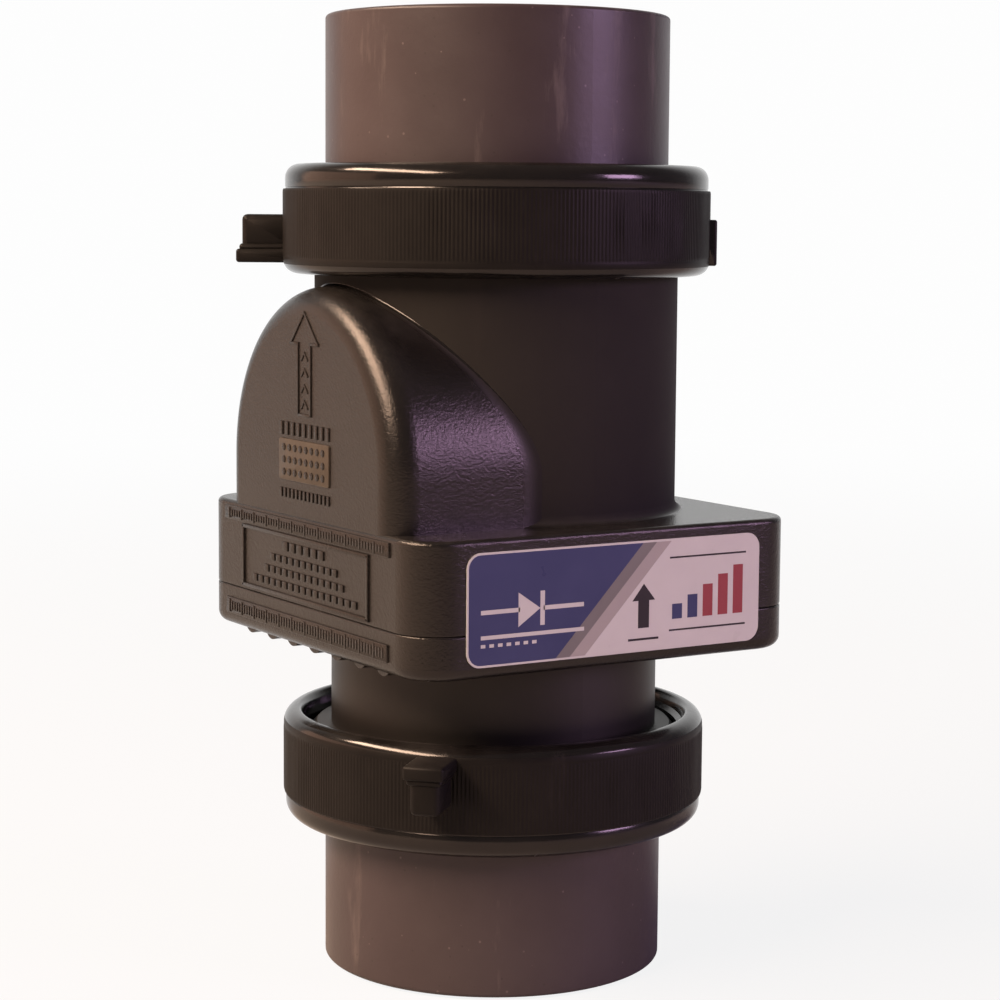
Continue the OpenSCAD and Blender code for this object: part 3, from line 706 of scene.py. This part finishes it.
def add_ridge(bm, root_r, crest_r, z_from, z_to, phase):
    turns = (z_to - z_from) / PITCH
    steps = int(96 * turns)
    loops = []
    for k in range(steps + 1):
        share = k / steps
        fade = min(1.0, share * steps / 9, (1 - share) * steps / 9)
        angle = phase + 2 * math.pi * turns * share
        middle = z_from + (z_to - z_from) * share
        crest = root_r + (crest_r - root_r) * fade
        sunk = root_r - 0.3 * (1 if crest_r > root_r else -1)
        foot, top = RIDGE_FOOT / 2, RIDGE_CREST / 2
        section = ((sunk, -foot), (root_r, -foot), (crest, -top), (crest, top), (root_r, foot), (sunk, foot))
        loops.append([(r * math.cos(angle), r * math.sin(angle), middle + h) for r, h in section])
    add_loops(bm, loops, caps=True)


TOP_END_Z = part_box("outlet_o_ring")[1].z / MM
BOTTOM_END_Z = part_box("inlet_o_ring")[0].z / MM
for name, body, z_from, z_to in (
    ("inlet_body_thread", "valve_body", BOTTOM_END_Z + 2.3, BOTTOM_END_Z + 7.0),
    ("outlet_body_thread", "valve_body", TOP_END_Z - 7.0, TOP_END_Z - 2.3),
    ("inlet_nut_thread", "inlet_nut", INLET_LIP_Z + 10.9, INLET_LIP_Z + 19.2),
    ("outlet_nut_thread", "outlet_nut", OUTLET_LIP_Z - 19.2, OUTLET_LIP_Z - 10.9),
):
    bm = bmesh.new()
    base = BOTTOM_END_Z if "inlet" in name else TOP_END_Z
    offset = PITCH / 2 if "nut" in name else 0.0
    phase = 2 * math.pi * ((z_from - base - offset) / PITCH)
    if "nut" in name:
        add_ridge(bm, BORE_R, NUT_CREST_R, z_from, z_to, phase)
        make_piece(name, bm, body, nut_black, 35)
    else:
        add_ridge(bm, BODY_ROOT_R, BODY_CREST_R, z_from, z_to, phase)
        make_piece(name, bm, body, body_black, 35)

# %% [markdown]
# ## Fillet behind the chamber
# Where the arched chamber grows out of the outlet tube the mould has a small hollow round. It follows the
# line on which two cylinders meet. For each point of that line the round's centre lies at the same distance
# from both surfaces, and an arc joins the two places where it touches. The photograph shows a thin bright
# line there, so the round is polished like the nuts.

# %% Hollow round along the chamber
TUBE_R, ARCH_R, ROUND_R = 37.5, 35.8, 0.8
BLOCK_TOP_Z = 94.8
NUT_COVERS, NUT_ROOM = 12.4, 2.2
ARCH_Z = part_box("upper_body")[1].z / MM - NUT_COVERS - NUT_ROOM - ARCH_R


def meeting_points():
    z = BLOCK_TOP_Z - 0.3
    y = -math.sqrt(TUBE_R ** 2 - ARCH_R ** 2)
    for k in range(6):
        yield Vector((-ARCH_R, y, z + (ARCH_Z - z) * k / 6)), Vector((-1, 0, 0))
    for k in range(73):
        angle = math.radians(-90 + 2.5 * k)
        x = ARCH_R * math.sin(angle)
        point = Vector((x, -math.sqrt(TUBE_R ** 2 - x * x), ARCH_Z + ARCH_R * math.cos(angle)))
        yield point, Vector((math.sin(angle), 0, math.cos(angle)))
    for k in range(1, 7):
        yield Vector((ARCH_R, y, ARCH_Z + (z - ARCH_Z) * k / 6)), Vector((1, 0, 0))


bm = bmesh.new()
loops = []
for point, arch_normal in meeting_points():
    tube_normal = Vector((point.x, point.y, 0)).normalized()
    centre = point + (arch_normal + tube_normal) * ROUND_R / (1 + arch_normal.dot(tube_normal))
    arc = [arch_normal.slerp(tube_normal, k / 6) for k in range(7)]
    loops.append([centre - n * (ROUND_R + 0.02) for n in arc] + [point - (arch_normal + tube_normal) * 0.4])
add_loops(bm, loops, caps=True)
make_piece("chamber_fillet", bm, "valve_body", nut_black, 60)

# %% [markdown]
# ## Raised marks on the front
# The mould also leaves raised marks: a flow arrow on the chamber, a small pad below it, two strips and a
# framed panel on the block. Plain ticks, dashes and pips fill the strips, the panel and the pad. Each mark is
# a plate that starts a little under the face, so that no gap can open, and its top edge is soft like any
# moulding.

# %% Flow arrow and pad on the chamber
CHAMBER_Y, BLOCK_Y = -44.45, -44.75


def on_chamber(x, z, out):
    return Vector((x, CHAMBER_Y - out, z))


def on_block(x, z, out):
    return Vector((x, BLOCK_Y - out, z))


def add_stroke(bm, points, width, to_space, low, high, closed=False):
    ends = list(zip(points, points[1:])) + ([(points[-1], points[0])] if closed else [])
    for a, b in ends:
        a, b = Vector(a), Vector(b)
        along = (b - a).normalized() * width * 0.45
        side = Vector((-along.y, along.x)).normalized() * width / 2
        a, b = a - along, b + along
        add_plate(bm, [a - side, b - side, b + side, a + side], to_space, low, high, 0.18)


def pip(x, z, radius):
    angles = [math.pi * k / 8 for k in range(16)]
    return [(x + radius * math.cos(a), z + radius * math.sin(a)) for a in angles]


bm = bmesh.new()
arrow = [(0, 135.6), (5.9, 129.4), (2.7, 129.4), (2.7, 115.2), (-2.7, 115.2), (-2.7, 129.4), (-5.9, 129.4)]
add_stroke(bm, arrow, 0.55, on_chamber, -0.4, 0.30, closed=True)
for z in (117.4, 120.6, 123.8, 127.0):
    add_stroke(bm, [(-1.3, z - 0.8), (0, z + 0.6), (1.3, z - 0.8)], 0.45, on_chamber, -0.3, 0.24)
make_piece("flow_arrow_moulding", bm, "valve_body", body_black)

bm = bmesh.new()
# The pad's own plate gets the second finish, the painted sheen.
for face in add_plate(bm, rectangle(0, 105.8, 10.8, 4.2, 0.5), on_chamber, -0.3, 0.35, 0.2):
    face.material_index = 1
for row in range(3):
    for column in range(8):
        add_plate(bm, pip(-8.4 + 2.4 * column, 103.3 + 2.5 * row, 0.75), on_chamber, 0.2, 0.58, 0.25)
for column in range(9):
    add_plate(bm, rectangle(-10.0 + 2.5 * column, 112.1, 0.6, 1.35), on_chamber, -0.3, 0.28, 0.14)
for column in range(13):
    add_plate(bm, rectangle(-10.2 + 1.7 * column, 99.0, 0.42, 0.95), on_chamber, -0.3, 0.26, 0.12)
make_piece("chamber_pad_moulding", bm, "valve_body", [body_black, pad_painted_sheen])

# %% [markdown]
# The strips on the block are bands with ticks, like a rule, and the panel is a thin frame round rows of
# dashes. Rows of equal marks are loops over a step, so a strip that changes its length keeps even ticks.

# %% Strips and panel on the block
TICK_STEP = 1.15
bm = bmesh.new()
for z, half_h, half_w in ((92.35, 1.5, 35.6), (72.55, 1.75, 35.0)):
    add_plate(bm, rectangle(0, z, half_w, half_h, 0.3), on_block, -0.3, 0.4, 0.2)
    count = int(half_w / TICK_STEP) * 2 - 1
    for k in range(count):
        tall = half_h - 0.35 if k % 5 == 0 else half_h - 0.8
        x = (k - (count - 1) / 2) * TICK_STEP
        add_plate(bm, rectangle(x, z, 0.30, tall), on_block, 0.25, 0.55, 0.12)
make_piece("block_strips_moulding", bm, "valve_body", body_black)

bm = bmesh.new()
add_stroke(bm, [(-27, 77.9), (27, 77.9), (27, 90.2), (-27, 90.2)], 0.8, on_block, -0.3, 0.45, closed=True)
for row, (z, half_w) in enumerate(((88.0, 10.0), (85.2, 15.4), (82.6, 18.6), (80.0, 23.8))):
    step, half_h = (3.1, 0.95) if row == 0 else (2.7, 0.75)
    count = int(2 * half_w / step)
    for k in range(count):
        x = (k - (count - 1) / 2) * step
        add_plate(bm, rectangle(x, z, step * 0.36, half_h, 0.2, 2), on_block, -0.3, 0.30, 0.12)
make_piece("block_panel_moulding", bm, "valve_body", body_black)

# %% [markdown]
# ## Label print
# The film's solid stays, and the inks lie on it as very thin plates. The field is one rounded outline that is
# cut along three slanted lines, one colour between each pair. A valve symbol, an arrow for the direction of
# flow and a few coloured bars are the only artwork.

# %% Inks on the label
film_low, film_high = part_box("side_label")
LABEL_X = film_high.x / MM
label_mid = ((film_low.y + film_high.y) / 2 / MM, (film_low.z + film_high.z) / 2 / MM)
label_half = ((film_high.y - film_low.y) / 2 / MM, (film_high.z - film_low.z) / 2 / MM)


def on_label(y, z, out):
    return Vector((LABEL_X + out, y, z))


def cut(outline, a, b, keep_left):
    """The part of a convex outline on one side of the line from a to b."""
    a, b = Vector(a), Vector(b)
    normal = Vector((-(b - a).y, (b - a).x)) * (1 if keep_left else -1)
    kept = []
    for k, p in enumerate(outline):
        p, q = Vector(p), Vector(outline[(k + 1) % len(outline)])
        dp, dq = (p - a).dot(normal), (q - a).dot(normal)
        if dp >= 0:
            kept.append(p)
        if dp * dq < 0:
            kept.append(p + (q - p) * (dp / (dp - dq)))
    return kept


def print_on(bm, outline, layer, colour_index):
    for face in add_plate(bm, outline, on_label, -0.05, 0.012 * layer, 0):
        face.material_index = colour_index


BLUE, SLATE, SILVER, BLACK, RED, WHITE = range(6)
slants = [((6.4, 93.0), (-14.7, 71.0)), ((9.6, 93.0), (-11.5, 71.0)), ((13.1, 93.0), (-8.0, 71.0))]
field = rectangle(*label_mid, label_half[0] - 0.4, label_half[1] - 0.4, 2.6, 6)
bm = bmesh.new()
print_on(bm, cut(field, *slants[0], False), 1, BLUE)
print_on(bm, cut(cut(field, *slants[0], True), *slants[1], False), 1, SLATE)
print_on(bm, cut(cut(field, *slants[1], True), *slants[2], False), 1, SILVER)
print_on(bm, rectangle(-27.2, 81.0, 4.3, 0.42), 2, WHITE)
print_on(bm, rectangle(-13.0, 81.0, 4.6, 0.42), 2, WHITE)
print_on(bm, [(-23.2, 77.7), (-18.3, 81.0), (-23.2, 84.3)], 2, WHITE)
print_on(bm, rectangle(-17.8, 81.0, 0.5, 3.3), 2, WHITE)
print_on(bm, rectangle(-19.9, 76.2, 11.6, 0.38), 2, WHITE)
for k in range(7):
    print_on(bm, rectangle(-31.0 + 1.9 * k, 74.6, 0.5, 0.32), 2, WHITE)
arrow = [(4.3, 75.2), (6.9, 75.2), (6.9, 80.6), (8.3, 80.6), (5.6, 83.9), (2.9, 80.6), (4.3, 80.6)]
print_on(bm, arrow, 1, BLACK)
print_on(bm, rectangle(5.6, 73.0, 3.6, 0.22), 1, BLACK)
for k, (tall, colour) in enumerate(((3.0, BLUE), (4.6, BLUE), (6.4, RED), (8.2, RED), (9.8, RED))):
    print_on(bm, rectangle(13.6 + 3.7 * k, 76.4 + tall / 2, 1.2, tall / 2), 1, colour)
print_on(bm, rectangle(21.0, 74.2, 9.3, 0.18), 1, BLACK)
print_on(bm, rectangle(21.0, 88.6, 9.3, 0.18), 1, BLACK)
make_piece("label_print", bm, "valve_body", [ink_blue, ink_slate, ink_silver, ink_black, ink_red, film_white])

# %% [markdown]
# ## Flapper screw and locknut
# The screw's head sits in the port, so its hexagon socket shows from below. Round and hexagon loops have the
# same number of points, so one strip of faces can run from one to the other. The locknut's corners are turned
# off by taking the smaller of the hexagon and a cone at every angle.

# %% Screw and locknut
def hexagon(across_flats):
    def radius(angle):
        return across_flats / 2 / math.cos((angle + math.pi / 6) % (math.pi / 3) - math.pi / 6)
    return radius


def lathe(sections, bored):
    bm = bmesh.new()
    loops = [turned_loop(r if callable(r) else (lambda a, c=r: c), z, 72) for r, z in sections]
    add_loops(bm, loops, closed=bored, caps=not bored)
    return bm


head_z, screw_top = (corner.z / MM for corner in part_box("flapper_screw"))
plate_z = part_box("seal_retainer")[0].z / MM
sections = [(hexagon(4.0), head_z + 1.9), (hexagon(4.0), head_z + 0.3), (2.6, head_z + 0.02), (3.6, head_z)]
sections += [(4.6, head_z + 0.22), (5.2, head_z + 0.75), (5.45, head_z + 1.5), (5.5, head_z + 2.2)]
sections += [(5.5, plate_z), (3.0, plate_z), (3.0, screw_top - 1.6), (2.7, screw_top - 1.4)]
sections += [(2.98, screw_top - 1.05), (2.7, screw_top - 0.7), (2.95, screw_top - 0.4)]
sections += [(2.5, screw_top - 0.05), (2.3, screw_top)]
screw = make_piece("flapper_socket_screw", lathe(sections, False), "flapper", steel, 30)
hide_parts("flapper_screw")

low, high = (corner.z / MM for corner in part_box("flapper_locknut"))
hexed = hexagon(10.0)
sections = [(3.02, low + 0.3), (3.3, low), (4.9, low), (lambda a: min(hexed(a), 5.25), low + 0.25)]
sections += [(hexed, low + 0.75), (hexed, low + 3.6), (lambda a: min(hexed(a), 5.2), low + 4.15)]
sections += [(4.75, low + 4.3), (4.7, high - 0.8), (4.45, high - 0.25), (4.0, high), (3.3, high)]
sections += [(3.02, high - 0.3)]
locknut = make_piece("flapper_steel_locknut", lathe(sections, True), "flapper", steel, 30)
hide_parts("flapper_locknut")
